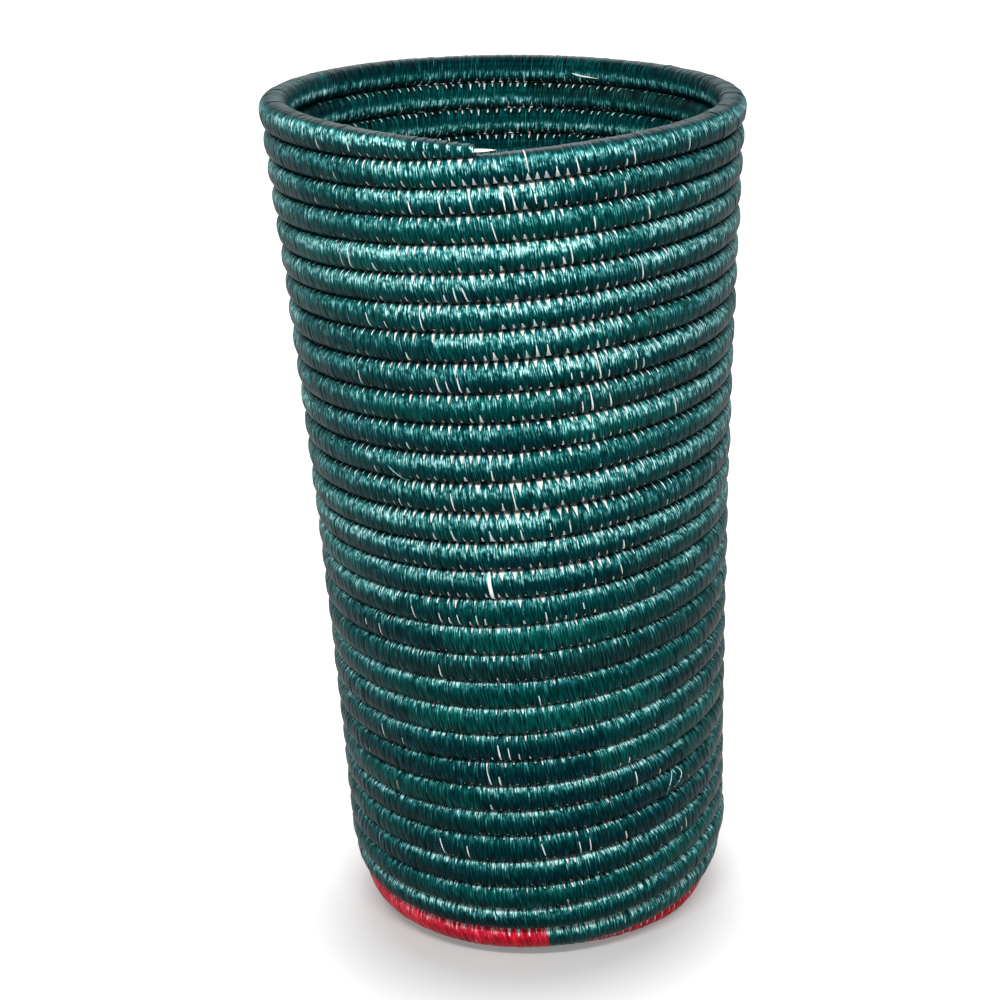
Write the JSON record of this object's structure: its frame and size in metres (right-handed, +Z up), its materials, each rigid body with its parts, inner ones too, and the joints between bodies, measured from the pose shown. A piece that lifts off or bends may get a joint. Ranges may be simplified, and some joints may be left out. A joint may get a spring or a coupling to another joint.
{
  "type": "coiled basket",
  "caption": "Tall open coiled basket: a raffia-wrapped coil wound into a flat base and a slightly flared wall, with a red foot row and a tapered, stitched-down end.",
  "frame": {"origin": "on the basket's axis, in the plane that it stands on", "axes": "+Z up along the basket's axis, -Y towards the front, where the red raffia ends and the tapered end of the coil lies"},
  "size_m": [0.1636, 0.1632, 0.3014],
  "materials": {
    "green_raffia": "dyed raffia wrap, fine strands across the coil, satin sheen",
    "red_raffia": "dyed raffia wrap, fine strands across the coil, satin sheen",
    "pale_fibre": "undyed dry plant fibre, matt"
  },
  "bodies": {
    "root": {"base_coil_1": "green_raffia", "base_coil_2": "green_raffia", "base_coil_3": "green_raffia", "base_coil_4": "green_raffia", "base_coil_5": "green_raffia", "base_coil_6": "green_raffia", "foot_coil_red": "red_raffia", "foundation_end": "pale_fibre", "rim_coil": "green_raffia", "rim_tail": "green_raffia", "start_knot": "green_raffia", "tail_stitch_1": "green_raffia", "tail_stitch_2": "green_raffia", "tail_stitch_3": "green_raffia", "tail_stitch_4": "green_raffia", "tail_stitch_5": "green_raffia", "tail_stitch_6": "green_raffia", "wall_coil_01": "green_raffia", "wall_coil_02": "green_raffia", "wall_coil_03": "green_raffia", "wall_coil_04": "green_raffia", "wall_coil_05": "green_raffia", "wall_coil_06": "green_raffia", "wall_coil_07": "green_raffia", "wall_coil_08": "green_raffia", "wall_coil_09": "green_raffia", "wall_coil_10": "green_raffia", "wall_coil_11": "green_raffia", "wall_coil_12": "green_raffia", "wall_coil_13": "green_raffia", "wall_coil_14": "green_raffia", "wall_coil_15": "green_raffia", "wall_coil_16": "green_raffia", "wall_coil_17": "green_raffia", "wall_coil_18": "green_raffia", "wall_coil_19": "green_raffia", "wall_coil_20": "green_raffia", "wall_coil_21": "green_raffia", "wall_coil_22": "green_raffia", "wall_coil_23": "green_raffia", "wall_coil_24": "green_raffia", "wall_coil_25": "green_raffia", "wall_coil_26": "green_raffia", "wall_coil_27": "green_raffia", "wall_coil_28": "green_raffia", "wall_coil_29": "green_raffia"}
  },
  "joints": []
}
